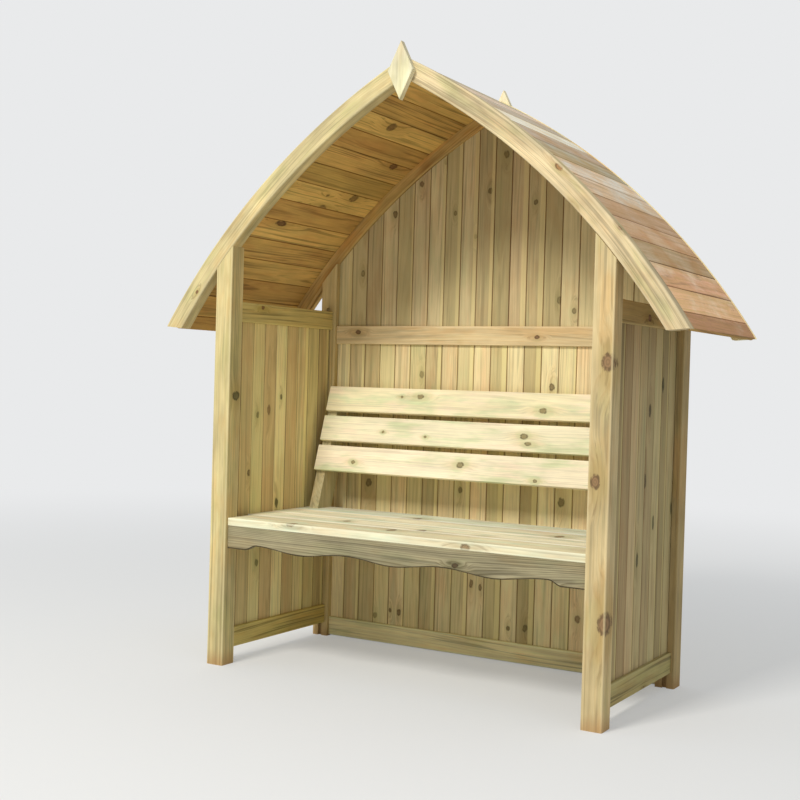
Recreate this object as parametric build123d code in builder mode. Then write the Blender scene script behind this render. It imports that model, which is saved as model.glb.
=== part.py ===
from build123d import *
import os
from math import atan2, cos, degrees, hypot, radians, sin, sqrt

# Garden arbour with a bench, boarded sides and back, and a pointed-arch roof.
# The front faces -Y, +X is to the right of someone who looks at the front,
# and the origin is on the ground at the middle of the plan. Sizes are in mm.

# Frame
frame_width = 1420.0
frame_depth = 695.0
post_size = 65.0
rail_thickness = 40.0
rail_height = 68.0
timber_round = 4.0

# Heights of the rails above the ground
side_top_rail_top = 1228.0
side_bottom_rail_lift = 50.0
back_mid_rail_top = 1176.0
back_bottom_rail_lift = 4.0

# Boards of the walls, and the grooves of posts, rails and rafters that hold them
wall_board_thickness = 14.0
groove_depth = 10.0
groove_slack = 0.5
groove_run_out = 15.0

# Pointed arch of the roof
roof_width = 1852.0
eave_height = 1140.0
ridge_height = 1974.0
arch_radius = 2340.0
rafter_height = 60.0
rafter_thickness = 50.0
eave_cut_angle = 5.0
ridge_gap = 0.6
ridge_margin = 0.01
foot_margin = 0.03
arris_chamfer = 3.5
arris_ease = 1.5

# Roof boards, which lie in a rebate of each rafter
roof_board_thickness = 14.0
roof_board_drop = 2.0
front_rebate_width = 8.0
rear_lip_width = 10.0
rebate_slack = 0.5
eave_board_lift = 5.0

# Diamond plates over the rafters' meeting
finial_width = 90.0
finial_height = 180.0
finial_thickness = 20.0
finial_drop = 48.0
finial_chamfer = 1.5

# Seat
seat_height = 498.0
seat_board_count = 4
seat_board_thickness = 26.0
seat_board_gap = 3.0
seat_board_round = 3.0
seat_front_setback = 12.0
seat_rear_space = 82.5
seat_end_gap = 1.5
apron_depth = 76.0
apron_thickness = 20.0
apron_setback = 2.0
scallop_pitch = 350.0
scallop_rise = 16.0
apron_shoulder = 47.0
bearer_thickness = 38.0
bearer_height = 68.0

# Backrest
back_slat_width = 95.0
back_slat_thickness = 20.0
back_slat_gap = 19.0
back_slat_count = 3
back_slat_lift = 129.0
back_slat_round = 2.0
back_lean = 17.4
support_thickness = 38.0
support_depth = 83.0
support_end_gap = 5.0
support_rear_margin = 1.5

# Clearance between pieces that are fixed to each other
fit_gap = 0.3

os.makedirs("parts", exist_ok=True)

# Places of the posts, rails and boards
post_x = frame_width / 2 - post_size / 2
post_y = frame_depth / 2 - post_size / 2
inner_x = frame_width / 2 - post_size
inner_y = frame_depth / 2 - post_size
groove_width = wall_board_thickness + 2 * groove_slack
board_reach = groove_depth - groove_slack
side_rail_length = 2 * (inner_y - fit_gap)
back_rail_length = 2 * (inner_x - fit_gap)
groove_offset = (rail_height - groove_depth) / 2
side_top_rail_z = side_top_rail_top - rail_height / 2
side_bottom_rail_z = side_bottom_rail_lift + rail_height / 2
back_mid_rail_z = back_mid_rail_top - rail_height / 2
back_bottom_rail_z = back_bottom_rail_lift + rail_height / 2
back_boards_face = post_y - wall_board_thickness / 2

# The arch's centre for the right-hand side, from its two ends and its radius
tip_x = roof_width / 2
arch_rise = ridge_height - eave_height
half_chord = hypot(tip_x, arch_rise) / 2
chord_angle = atan2(arch_rise, -tip_x)
centre_distance = sqrt(arch_radius**2 - half_chord**2)
arch_x = tip_x / 2 - centre_distance * sin(chord_angle)
arch_z = (eave_height + ridge_height) / 2 + centre_distance * cos(chord_angle)
rafter_radius = arch_radius - rafter_height


def arch_angle(radius, x):
    """Angle, in radians, at which the arch of this radius stands over x."""
    return atan2(sqrt(radius**2 - (x - arch_x) ** 2), x - arch_x)


def arch_point(radius, angle):
    """Point of the arch of this radius at an angle, as (x, z)."""
    return (arch_x + radius * cos(angle), arch_z + radius * sin(angle))


def arch_plane(x_side, angle):
    """Plane of the arch's section at an angle. Its local x is +Y and its local y is the radius."""
    radial = Vector(x_side * cos(angle), 0, sin(angle))
    across = Vector(0, 1, 0)
    return Plane(origin=(x_side * arch_x, 0, arch_z), x_dir=across, z_dir=across.cross(radial))


# Corner posts, grooved for the side boards, and the rear pair for the back boards too.
# A post's top follows the curve of the rafter that stands on it.
post_blank_length = arch_point(rafter_radius, arch_angle(rafter_radius, inner_x))[1]
for x_side, side_name in ((-1, "left"), (1, "right")):
    for y_side, end_name in ((-1, "front"), (1, "rear")):
        with BuildPart() as post:
            with BuildSketch(Plane.XY):
                with Locations((x_side * post_x, y_side * post_y)):
                    RectangleRounded(post_size, post_size, timber_round)
            extrude(amount=post_blank_length)
            with BuildSketch(Plane.XY):
                with Locations((x_side * post_x, y_side * (inner_y + groove_depth / 2))):
                    Rectangle(groove_width, groove_depth)
            extrude(amount=side_top_rail_top + groove_run_out, mode=Mode.SUBTRACT)
            if end_name == "rear":
                with BuildSketch(Plane.XY):
                    with Locations((x_side * (inner_x + groove_depth / 2), post_y)):
                        Rectangle(groove_depth, groove_width)
                extrude(amount=post_blank_length, mode=Mode.SUBTRACT)
            with BuildSketch(Plane.XZ.offset(-frame_depth / 2)):
                with Locations((x_side * arch_x, arch_z)):
                    Circle(rafter_radius - fit_gap)
            extrude(amount=frame_depth, mode=Mode.INTERSECT)
        post.part.label = f"{end_name}_{side_name}_post"
        export_step(post.part, f"parts/{post.part.label}.step")

# Side rails between the posts, grooved on the edge that meets the boards
for x_side, side_name in ((-1, "left"), (1, "right")):
    for rail_name, rail_z, groove_side in (
        ("top", side_top_rail_z, -1),
        ("bottom", side_bottom_rail_z, 1),
    ):
        with BuildPart() as side_rail:
            with BuildSketch(Plane.XZ.offset(-side_rail_length / 2)):
                with Locations((x_side * post_x, rail_z)):
                    RectangleRounded(rail_thickness, rail_height, timber_round)
                with Locations((x_side * post_x, rail_z + groove_side * groove_offset)):
                    Rectangle(groove_width, groove_depth, mode=Mode.SUBTRACT)
            extrude(amount=side_rail_length)
        side_rail.part.label = f"{side_name}_{rail_name}_rail"
        export_step(side_rail.part, f"parts/{side_rail.part.label}.step")

# Side boards as one panel a side, held in the grooves of posts and rails all round
side_boards_bottom = side_bottom_rail_lift + rail_height - board_reach
side_boards_top = side_top_rail_top - rail_height + board_reach
for x_side, side_name in ((-1, "left"), (1, "right")):
    with BuildPart() as side_boards:
        with BuildSketch(Plane.XY.offset(side_boards_bottom)):
            with Locations((x_side * post_x, 0)):
                Rectangle(wall_board_thickness, 2 * (inner_y + board_reach))
        extrude(amount=side_boards_top - side_boards_bottom)
    side_boards.part.label = f"{side_name}_side_boards"
    export_step(side_boards.part, f"parts/{side_boards.part.label}.step")

# Back rails: the bottom one is grooved above, the middle one above and below
for rail_name, rail_z, groove_sides in (
    ("back_bottom_rail", back_bottom_rail_z, (1,)),
    ("back_mid_rail", back_mid_rail_z, (-1, 1)),
):
    with BuildPart() as back_rail:
        with BuildSketch(Plane.YZ.offset(-back_rail_length / 2)):
            with Locations((post_y, rail_z)):
                RectangleRounded(rail_thickness, rail_height, timber_round)
            for groove_side in groove_sides:
                with Locations((post_y, rail_z + groove_side * groove_offset)):
                    Rectangle(groove_width, groove_depth, mode=Mode.SUBTRACT)
        extrude(amount=back_rail_length)
    back_rail.part.label = rail_name
    export_step(back_rail.part, f"parts/{back_rail.part.label}.step")

# Back boards below the middle rail, between the grooves of the rails and rear posts
back_boards_width = 2 * (inner_x + board_reach)
lower_boards_bottom = back_bottom_rail_lift + rail_height - board_reach
lower_boards_top = back_mid_rail_top - rail_height + board_reach
with BuildPart() as back_lower_boards:
    with BuildSketch(Plane.XY.offset(lower_boards_bottom)):
        with Locations((0, post_y)):
            Rectangle(back_boards_width, wall_board_thickness)
    extrude(amount=lower_boards_top - lower_boards_bottom)
back_lower_boards.part.label = "back_lower_boards"
export_step(back_lower_boards.part, "parts/back_lower_boards.step")

# Back boards above the middle rail, cut to the arch and held in the rear rafters
upper_boards_bottom = back_mid_rail_top - board_reach
with BuildPart() as back_upper_boards:
    with BuildSketch(Plane.XY.offset(upper_boards_bottom)):
        with Locations((0, post_y)):
            Rectangle(back_boards_width, wall_board_thickness)
    extrude(amount=ridge_height - upper_boards_bottom)
    for x_side in (-1, 1):
        with BuildSketch(Plane.XZ.offset(-frame_depth / 2)):
            with Locations((x_side * arch_x, arch_z)):
                Circle(rafter_radius + board_reach)
        extrude(amount=frame_depth, mode=Mode.INTERSECT)
back_upper_boards.part.label = "back_upper_boards"
export_step(back_upper_boards.part, "parts/back_upper_boards.step")

# Rafters, flush with the posts' outer faces. Their section, with its arrises eased,
# is swung round the arch's centre and cut plumb at the ridge and nearly level at the
# foot. It has a rebate above for the roof boards, and a groove below in the rear pair.
rafter_inside = frame_depth / 2 - rafter_thickness
rafter_y = frame_depth / 2 - rafter_thickness / 2
rafter_middle_radius = (arch_radius + rafter_radius) / 2
rebate_depth = roof_board_drop + roof_board_thickness + rebate_slack
rear_rebate_width = rafter_thickness - rear_lip_width
ridge_angle = arch_angle(arch_radius, 0) + ridge_margin
tip_angle = arch_angle(arch_radius, tip_x)
swing = degrees(ridge_angle - tip_angle + foot_margin)
cut_angle = radians(eave_cut_angle)
for x_side, side_name in ((-1, "left"), (1, "right")):
    swing_axis = Axis((x_side * arch_x, 0, arch_z), (0, x_side, 0))
    ridge_cut = Plane(origin=(x_side * ridge_gap / 2, 0, 0), z_dir=(x_side, 0, 0))
    foot_cut = Plane(
        origin=(x_side * tip_x, 0, eave_height),
        z_dir=(-x_side * sin(cut_angle), 0, cos(cut_angle)),
    )
    for y_side, end_name, rebate_width in (
        (-1, "front", front_rebate_width),
        (1, "rear", rear_rebate_width),
    ):
        with BuildPart() as rafter:
            with BuildSketch(arch_plane(x_side, ridge_angle)) as section:
                with Locations((y_side * rafter_y, rafter_middle_radius)):
                    Rectangle(rafter_thickness, rafter_height)
                chamfer(section.vertices(), length=arris_chamfer)
                chamfer(section.vertices(), length=arris_ease)
                rebate_y = y_side * (rafter_inside + rebate_width / 2)
                with Locations((rebate_y, arch_radius - rebate_depth / 2)):
                    Rectangle(rebate_width, rebate_depth, mode=Mode.SUBTRACT)
                if end_name == "rear":
                    with Locations((post_y, rafter_radius + groove_depth / 2)):
                        Rectangle(groove_width, groove_depth, mode=Mode.SUBTRACT)
            revolve(axis=swing_axis, revolution_arc=swing)
            split(bisect_by=ridge_cut, keep=Keep.TOP)
            split(bisect_by=foot_cut, keep=Keep.TOP)
        rafter.part.label = f"{end_name}_{side_name}_rafter"
        export_step(rafter.part, f"parts/{rafter.part.label}.step")

# Roof boards as one curved skin a side, in the rebates of the front and rear rafters
roof_middle_radius = arch_radius - roof_board_drop - roof_board_thickness / 2
roof_front = -rafter_inside - front_rebate_width + rebate_slack
roof_rear = rafter_inside + rear_rebate_width - rebate_slack
roof_swing = degrees(ridge_angle - tip_angle - eave_board_lift / arch_radius)
for x_side, side_name in ((-1, "left"), (1, "right")):
    swing_axis = Axis((x_side * arch_x, 0, arch_z), (0, x_side, 0))
    ridge_cut = Plane(origin=(x_side * ridge_gap / 2, 0, 0), z_dir=(x_side, 0, 0))
    with BuildPart() as roof_boards:
        with BuildSketch(arch_plane(x_side, ridge_angle)):
            with Locations(((roof_front + roof_rear) / 2, roof_middle_radius)):
                Rectangle(roof_rear - roof_front, roof_board_thickness)
        revolve(axis=swing_axis, revolution_arc=roof_swing)
        split(bisect_by=ridge_cut, keep=Keep.TOP)
    roof_boards.part.label = f"{side_name}_roof_boards"
    export_step(roof_boards.part, f"parts/{roof_boards.part.label}.step")

# Diamond finials on the front and rear faces of the rafters
finial_centre_height = ridge_height - finial_drop
for y_side, end_name in ((-1, "front"), (1, "rear")):
    finial_near = y_side * (frame_depth / 2 + fit_gap)
    finial_rear = max(finial_near, finial_near + y_side * finial_thickness)
    with BuildPart() as finial:
        with BuildSketch(Plane.XZ.offset(-finial_rear)):
            with BuildLine():
                Polyline(
                    (0, finial_centre_height + finial_height / 2),
                    (finial_width / 2, finial_centre_height),
                    (0, finial_centre_height - finial_height / 2),
                    (-finial_width / 2, finial_centre_height),
                    close=True,
                )
            make_face()
        extrude(amount=finial_thickness)
        outer_face = finial.faces().sort_by(Axis.Y)[0 if y_side < 0 else -1]
        chamfer(outer_face.edges(), length=finial_chamfer)
    finial.part.label = f"{end_name}_finial"
    export_step(finial.part, f"parts/{finial.part.label}.step")

# Seat boards, with the front one between the posts and the rest between the sides.
# Together they fill the seat's depth, from its front edge to the space behind it.
seat_front = -frame_depth / 2 + seat_front_setback
seat_rear = back_boards_face - seat_rear_space
seat_board_pitch = (seat_rear - seat_front + seat_board_gap) / seat_board_count
seat_board_width = seat_board_pitch - seat_board_gap
seat_underside = seat_height - seat_board_thickness
side_boards_face = post_x - wall_board_thickness / 2
for i in range(seat_board_count):
    board_y = seat_front + seat_board_width / 2 + i * seat_board_pitch
    board_end = inner_x - seat_end_gap if i == 0 else side_boards_face - seat_end_gap
    with BuildPart() as seat_board:
        with BuildSketch(Plane.YZ.offset(-board_end)):
            with Locations((board_y, seat_height - seat_board_thickness / 2)):
                RectangleRounded(seat_board_width, seat_board_thickness, seat_board_round)
        extrude(amount=2 * board_end)
    seat_board.part.label = f"seat_board_{i + 1}"
    export_step(seat_board.part, f"parts/{seat_board.part.label}.step")

# Apron under the seat's front edge. Its lower edge has as many whole waves as fit, and
# steps down to full depth at each end.
apron_end = inner_x - seat_end_gap
scallop_count = int(2 * (apron_end - apron_shoulder) / scallop_pitch)
apron_front = seat_front + apron_setback
apron_rear = apron_front + apron_thickness
apron_low = seat_underside - apron_depth
apron_high = apron_low + scallop_rise
with BuildPart() as seat_apron:
    with BuildSketch(Plane.XZ.offset(-apron_rear)):
        with BuildLine():
            wave_x = -scallop_count * scallop_pitch / 2
            wave_end = -wave_x
            Polyline(
                (wave_x - apron_shoulder, apron_low),
                (-apron_end, apron_low),
                (-apron_end, seat_underside),
                (apron_end, seat_underside),
                (apron_end, apron_low),
                (wave_end + apron_shoulder, apron_low),
            )
            Spline(
                (wave_x - apron_shoulder, apron_low),
                (wave_x, apron_high),
                tangents=[(1, 0), (1, 0)],
            )
            for i in range(scallop_count):
                crest = wave_x + i * scallop_pitch
                Spline(
                    (crest, apron_high),
                    (crest + scallop_pitch / 2, apron_low),
                    (crest + scallop_pitch, apron_high),
                    tangents=[(1, 0), (1, 0)],
                )
            Spline(
                (wave_end, apron_high),
                (wave_end + apron_shoulder, apron_low),
                tangents=[(1, 0), (1, 0)],
            )
        make_face()
    extrude(amount=apron_thickness)
seat_apron.part.label = "seat_apron"
export_step(seat_apron.part, "parts/seat_apron.step")

# Bearers under the seat: one at each side against the posts, one across the rear,
# and one in the middle from the apron to the rear one
side_bearer_front = apron_rear + fit_gap
side_bearer_rear = back_boards_face - fit_gap
bearer_z = seat_underside - bearer_height / 2
bearer_outer_x = inner_x - fit_gap
bearer_inner_x = bearer_outer_x - bearer_thickness
for x_side, side_name in ((-1, "left"), (1, "right")):
    with BuildPart() as side_bearer:
        with BuildSketch(Plane.XZ.offset(-side_bearer_rear)):
            with Locations((x_side * (bearer_outer_x + bearer_inner_x) / 2, bearer_z)):
                Rectangle(bearer_thickness, bearer_height)
        extrude(amount=side_bearer_rear - side_bearer_front)
    side_bearer.part.label = f"{side_name}_seat_bearer"
    export_step(side_bearer.part, f"parts/{side_bearer.part.label}.step")

rear_bearer_end = bearer_inner_x - fit_gap
with BuildPart() as rear_seat_bearer:
    with BuildSketch(Plane.YZ.offset(-rear_bearer_end)):
        with Locations((seat_rear - bearer_thickness / 2, bearer_z)):
            Rectangle(bearer_thickness, bearer_height)
    extrude(amount=2 * rear_bearer_end)
rear_seat_bearer.part.label = "rear_seat_bearer"
export_step(rear_seat_bearer.part, "parts/rear_seat_bearer.step")

middle_bearer_rear = seat_rear - bearer_thickness - fit_gap
with BuildPart() as middle_seat_bearer:
    with BuildSketch(Plane.XZ.offset(-middle_bearer_rear)):
        with Locations((0, bearer_z)):
            Rectangle(bearer_thickness, bearer_height)
    extrude(amount=middle_bearer_rear - side_bearer_front)
middle_seat_bearer.part.label = "middle_seat_bearer"
export_step(middle_seat_bearer.part, "parts/middle_seat_bearer.step")

# Backrest supports stand on the rear of the seat, lean back and are cut plumb where
# they meet the back boards. Lengths along the lean start at their front foot.
lean = radians(back_lean)
foot_run = support_depth / cos(lean)
foot_rear = seat_rear - support_rear_margin
foot_front = foot_rear - foot_run
slat_start = (back_slat_lift + (back_slat_thickness + fit_gap) * sin(lean)) / cos(lean)
slat_pitch = back_slat_width + back_slat_gap
support_length = slat_start + back_slat_count * slat_pitch - back_slat_gap
wall_y = back_boards_face - fit_gap
support_top_y = foot_front + support_length * sin(lean)
support_top_z = seat_height + support_length * cos(lean)
support_back_y = support_top_y + support_depth * cos(lean)
support_back_z = support_top_z - support_depth * sin(lean)
support_outer_x = inner_x - support_end_gap
for x_side, side_name in ((-1, "left"), (1, "right")):
    support_start_x = min(x_side * support_outer_x, x_side * (support_outer_x - support_thickness))
    with BuildPart() as support:
        with BuildSketch(Plane.YZ.offset(support_start_x)):
            with BuildLine():
                Polyline(
                    (foot_front, seat_height),
                    (foot_rear, seat_height),
                    (support_back_y, support_back_z),
                    (support_top_y, support_top_z),
                    close=True,
                )
            make_face()
        extrude(amount=support_thickness)
        split(bisect_by=Plane(origin=(0, wall_y, 0), z_dir=(0, -1, 0)), keep=Keep.TOP)
    support.part.label = f"{side_name}_backrest_support"
    export_step(support.part, f"parts/{support.part.label}.step")

# Backrest slats along the front edge of the supports
for i in range(back_slat_count):
    slat_middle = slat_start + i * slat_pitch + back_slat_width / 2
    slat_out = fit_gap + back_slat_thickness / 2
    slat_y = foot_front + slat_middle * sin(lean) - slat_out * cos(lean)
    slat_z = seat_height + slat_middle * cos(lean) + slat_out * sin(lean)
    with BuildPart() as back_slat:
        with BuildSketch(Plane.YZ.offset(-support_outer_x)):
            with Locations((slat_y, slat_z)):
                RectangleRounded(
                    back_slat_thickness,
                    back_slat_width,
                    back_slat_round,
                    rotation=-back_lean,
                )
        extrude(amount=2 * support_outer_x)
    back_slat.part.label = f"back_slat_{i + 1}"
    export_step(back_slat.part, f"parts/{back_slat.part.label}.step")
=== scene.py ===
import math
import random

import bpy
from mathutils import Matrix, Vector


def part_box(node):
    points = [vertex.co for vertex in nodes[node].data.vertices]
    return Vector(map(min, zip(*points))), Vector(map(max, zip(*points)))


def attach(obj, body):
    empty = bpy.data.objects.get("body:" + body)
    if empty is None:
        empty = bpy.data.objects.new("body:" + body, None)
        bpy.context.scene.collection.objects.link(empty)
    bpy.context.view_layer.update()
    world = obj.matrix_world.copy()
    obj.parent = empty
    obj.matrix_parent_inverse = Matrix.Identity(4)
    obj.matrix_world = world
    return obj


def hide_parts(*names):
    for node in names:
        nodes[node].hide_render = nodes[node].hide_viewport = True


# A garden arbour of treated softwood: posts, rails and curved rafters from the frame,
# with the matchboard of the walls and the roof made here, board by board.

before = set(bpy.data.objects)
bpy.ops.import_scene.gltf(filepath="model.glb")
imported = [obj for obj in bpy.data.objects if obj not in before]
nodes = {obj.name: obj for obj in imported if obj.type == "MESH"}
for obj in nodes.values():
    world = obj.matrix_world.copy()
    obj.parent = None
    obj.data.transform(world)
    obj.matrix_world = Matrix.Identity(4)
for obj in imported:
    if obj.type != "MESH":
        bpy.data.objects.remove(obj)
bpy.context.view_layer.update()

MM = 0.001

# the timber's colours, as they look on a display
CREAM = (228, 208, 158)
STRAW = (196, 168, 112)
ROSE = (206, 164, 128)
MOSS = (156, 168, 124)
UMBER = (120, 82, 56)
# dirt and painted shade in the joints between boards
JOINT_DIRT_AND_SHADE = (150, 112, 82)
ROOF_ROSY = (226, 170, 136)
ROOF_PALE = (236, 210, 182)
ROOF_GREY = (228, 230, 222)
ROOF_END = (244, 236, 204)
FOOT_STAIN = (168, 124, 76)
# painted shade, with some dark stain, along the apron's sawn edge
EDGE_SHADE_STAIN_COLOUR = (52, 44, 26)
BACK_KNOT = (104, 84, 54)
SIDE_KNOT = (62, 60, 36)
LIGHTEST = 250

# how late wood, warm and green streaks, and the painted highlights along arrises differ from early wood
LATE_TINT = (0.84, 0.74, 0.56)
WARM_TINT = (0.98, 0.86, 0.72)
GREEN_TINT = (0.84, 0.92, 0.80)
ARRIS_HIGHLIGHT_TINT = (1.07, 1.09, 1.13)


def display(rgb):
    """A colour given as it looks on a display, from 0 to 255, as a linear colour."""
    linear = []
    for value in rgb:
        c = value / 255
        linear.append(c / 12.92 if c <= 0.04045 else ((c + 0.055) / 1.055) ** 2.4)
    return (*linear, 1.0)


def scaled(rgb, factors):
    """A display colour made lighter or darker, channel by channel."""
    return tuple(min(LIGHTEST, value * factor) for value, factor in zip(rgb, factors))


# shader groups

# samples that tell a group's socket for a number from one for a place or a colour
NUMBER = 0.0
PLACE = (0.0, 0.0, 0.0)
COLOUR = (0.0, 0.0, 0.0, 1.0)

# the masks of a timber's figure, each with its level on plain timber
FAR = 100.0
FIGURE_MASKS = {
    "Rings": 0.0,
    "Streaks": 0.5,
    "Clouds": 0.5,
    "Lines": 0.0,
    "Warm": 0.0,
    "Green": 0.0,
    "Fibre": 0.5,
    "Patches": 0.5,
    "Halo": 0.0,
    "Away": FAR,
}

# sizes on the timber, in metres, and the shapes of knots, as the inverse of their length
# along, across and deep
KNOT_CELL = (0.34, 0.10, 0.10)
KNOT_SHAPE = (0.7, 1.0, 0.5)
SWIRL_SHAPE = (0.28, 1.0, 0.5)
SPOT_DEEP = 0.35
KNOT_SMALLEST = 0.003
KNOT_RANGE = 0.006
RING_SWELL = 0.011
CLOUD_SCALE = (13.0, 7.0, 13.0)
ROSY_HEIGHT = 1.18
PALE_HEIGHT = 1.50
GREY_HEIGHT = 1.82
ROOF_END_FROM = 0.357
ROOF_END_TO = 0.362
# the painted highlights along arrises: how far in they fade, where they are brightest, and how ragged they
# are
ARRIS_WIDE = 0.008
ARRIS_BRIGHTEST = 0.002
ARRIS_RAGGED = 0.010
FOOT_STAIN_HIGH = 0.06
FOOT_STAIN_RAGGED = 0.05


class Wires:
    """Adds nodes to one tree and links them, so that a graph reads as a few lines."""

    def __init__(self, tree):
        self.tree = tree

    def put(self, value, socket):
        """Links an input to an output, or gives it a plain value."""
        if isinstance(value, bpy.types.NodeSocket):
            self.tree.links.new(value, socket)
        else:
            socket.default_value = value

    def fill(self, node, given):
        """Puts values into a node's inputs by name."""
        for name, value in given.items():
            self.put(value, node.inputs[name])

    def add(self, kind, *values):
        """A new node, with values for its first inputs."""
        node = self.tree.nodes.new("ShaderNode" + kind)
        for value, socket in zip(values, node.inputs):
            self.put(value, socket)
        return node

    def maths(self, operation, *values):
        node = self.add("Math", *values)
        node.operation = operation
        return node.outputs[0]

    def times(self, a, b):
        return self.maths("MULTIPLY", a, b)

    def minus(self, a, b):
        return self.maths("SUBTRACT", a, b)

    def scale_add(self, value, factor, base):
        return self.maths("MULTIPLY_ADD", value, factor, base)

    def swing(self, mask, amount, base):
        """A base that goes up and down by an amount as a mask leaves its middle."""
        return self.scale_add(self.minus(mask, 0.5), amount, base)

    def vector(self, operation, *values):
        node = self.add("VectorMath", *values)
        node.operation = operation
        return node.outputs["Value" if operation == "LENGTH" else "Vector"]

    def split(self, value):
        return self.add("SeparateXYZ", value).outputs

    def join(self, x, y, z):
        return self.add("CombineXYZ", x, y, z).outputs[0]

    def attribute(self, name):
        node = self.add("Attribute")
        node.attribute_name = name
        return node.outputs

    def noise(self, where, detail, rough=0.5, colour=False):
        node = self.add("TexNoise")
        self.fill(node, {"Vector": where, "Scale": 1.0, "Detail": detail, "Roughness": rough})
        return node.outputs["Color" if colour else "Fac"]

    def spread(self, value, low, high, to_low=0.0, to_high=1.0):
        """A value between low and high, spread evenly from to_low to to_high."""
        return self.add("MapRange", value, low, high, to_low, to_high).outputs[0]

    def ease(self, value, low, high, to_low=0.0, to_high=1.0):
        """The same, but with soft ends."""
        node = self.add("MapRange", value, low, high, to_low, to_high)
        node.interpolation_type = "SMOOTHSTEP"
        return node.outputs[0]

    def blend(self, share, a, b, mode="MIX"):
        node = self.add("Mix", share)
        node.data_type = "RGBA"
        node.blend_type = mode
        self.put(a, node.inputs[6])
        self.put(b, node.inputs[7])
        return node.outputs[2]

    def shade(self, colour, level):
        """A colour made lighter or darker by a level."""
        return self.blend(1.0, colour, self.join(level, level, level), "MULTIPLY")

    def group(self, kind, given):
        """What a node group gives for these inputs."""
        node = self.add("Group")
        node.node_tree = kind
        self.fill(node, given)
        return node.outputs

    def give(self, results):
        """Ends a node group with what it gives."""
        self.fill(self.tree.nodes.new("NodeGroupOutput"), results)
        return self.tree


def new_group(name, inputs, outputs):
    """The wires of a new node group, and the sockets of what it is given. The sockets are
    named, with a sample each: a number, a place or a colour, which an input starts with."""
    tree = bpy.data.node_groups.new(name, "ShaderNodeTree")
    for samples, way in ((inputs, "INPUT"), (outputs, "OUTPUT")):
        for socket_name, sample in samples.items():
            kind = "Float" if isinstance(sample, float) else "Vector" if len(sample) == 3 else "Color"
            socket = tree.interface.new_socket(socket_name, in_out=way, socket_type="NodeSocket" + kind)
            socket.default_value = sample
    return Wires(tree), tree.nodes.new("NodeGroupInput").outputs


def make_spot_group():
    """How far a place is from one spot on the grain, in the spot's own radii, and the
    same with the spot drawn out along the grain, for the fibres that flow round it."""
    w, given = new_group(
        "Spot on the grain",
        {"Grain Place": PLACE, "Centre": PLACE, "Radius": 0.012, "Stretch": 1.3},
        {"Away": NUMBER, "Around": NUMBER},
    )
    off = w.vector("SUBTRACT", given["Grain Place"], given["Centre"])
    reach = {}
    for name, longer in (("Away", 1.0), ("Around", 0.4)):
        squash = w.join(w.maths("DIVIDE", longer, given["Stretch"]), 1.0, SPOT_DEEP)
        length = w.vector("LENGTH", w.vector("MULTIPLY", off, squash))
        reach[name] = w.maths("DIVIDE", length, given["Radius"])
    return w.give(reach)


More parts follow.
